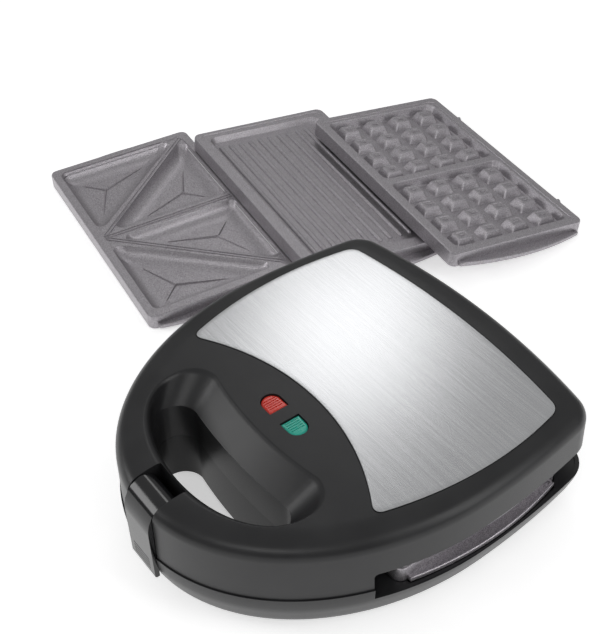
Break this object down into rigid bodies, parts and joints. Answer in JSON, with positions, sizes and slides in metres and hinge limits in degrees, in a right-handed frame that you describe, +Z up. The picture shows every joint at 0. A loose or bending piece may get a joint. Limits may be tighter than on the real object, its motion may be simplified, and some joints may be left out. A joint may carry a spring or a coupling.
{
  "type": "breakfast sandwich maker",
  "caption": "Hinged table-top sandwich maker with a loop handle, latch clip and steel-faced lid, with loose sandwich, grill and waffle plates beside it.",
  "frame": {"origin": "centre of the footprint of everything that stands on the table, on the table top", "axes": "+X to the right of a person at the handle, +Y towards the hinge, +Z up"},
  "size_m": [0.5171, 0.4716, 0.0789],
  "materials": {
    "body_plastic": "satin black",
    "bright_steel": "plain",
    "ceramic": "unglazed",
    "clip_plastic": "gloss black",
    "cover_plastic": "satin black",
    "foot_rubber": "matt",
    "green_lens": "tinted clear plastic",
    "heater_sheath": "oxidised sheath",
    "lamp_glass": "small neon lamps",
    "panel_steel": "lengthwise brushing",
    "plate_coating": "speckled non-stick coating",
    "red_lens": "tinted clear plastic",
    "reflector_sheet": "plain sheet",
    "slide_plastic": "satin dark grey"
  },
  "bodies": {
    "base": {"base_housing": "body_plastic", "lower_handle_cover": "cover_plastic", "lower_reflector": "reflector_sheet", "lower_heater": "heater_sheath", "lower_heater_clamps": "bright_steel", "lower_plate": "plate_coating", "lower_plate_studs": "bright_steel", "hinge_pins": "bright_steel", "thermostat": "ceramic", "thermal_fuse": "ceramic", "terminal_block": "ceramic", "cord_gland": "foot_rubber", "rubber_feet": "foot_rubber", "base_screws": "bright_steel"},
    "lid": {"lid_housing": "body_plastic", "top_panel": "panel_steel", "upper_handle_cover": "cover_plastic", "upper_reflector": "reflector_sheet", "upper_heater": "heater_sheath", "upper_heater_clamps": "bright_steel", "upper_plate": "plate_coating", "upper_plate_studs": "bright_steel", "latch_pin": "bright_steel", "red_lens": "red_lens", "green_lens": "green_lens", "indicator_lamps": "lamp_glass", "lamp_holder": "ceramic", "lid_screws": "bright_steel"},
    "latch": {"latch_clip": "clip_plastic"},
    "lower_release": {"lower_release_slide": "slide_plastic"},
    "upper_release": {"upper_release_slide": "slide_plastic"},
    "spare_sandwich": {"spare_sandwich_plate": "plate_coating", "spare_sandwich_studs": "bright_steel"},
    "spare_grill": {"spare_grill_plate": "plate_coating", "spare_grill_studs": "bright_steel"},
    "spare_waffle": {"spare_waffle_plate": "plate_coating", "spare_waffle_studs": "bright_steel"}
  },
  "joints": [
    {"name": "lid_hinge", "type": "hinge", "parent": "base", "child": "lid", "pos_m": [0.14094, 0.01923, 0.038], "axis": [-1, 0, 0], "range_deg": [0, 100]},
    {"name": "latch_pivot", "type": "hinge", "parent": "lid", "child": "latch", "pos_m": [0.14094, -0.22227, 0.0679], "axis": [-1, 0, 0], "range_deg": [0, 40]},
    {"name": "lower_release_push", "type": "slide", "parent": "base", "child": "lower_release", "axis": [0, -1, 0], "range_m": [0, 0.003], "stiffness_N_per_m": 200},
    {"name": "upper_release_push", "type": "slide", "parent": "lid", "child": "upper_release", "axis": [0, -1, 0], "range_m": [0, 0.003], "stiffness_N_per_m": 200},
    {"name": "spare_sandwich_lift", "type": "slide", "parent": "base", "child": "spare_sandwich", "axis": [0, 0, 1], "range_m": [0, 0.03]},
    {"name": "spare_grill_lift", "type": "slide", "parent": "spare_sandwich", "child": "spare_grill", "axis": [0, 0, 1], "range_m": [0, 0.03]},
    {"name": "spare_waffle_lift", "type": "slide", "parent": "spare_grill", "child": "spare_waffle", "axis": [0, 0, 1], "range_m": [0, 0.03]}
  ]
}
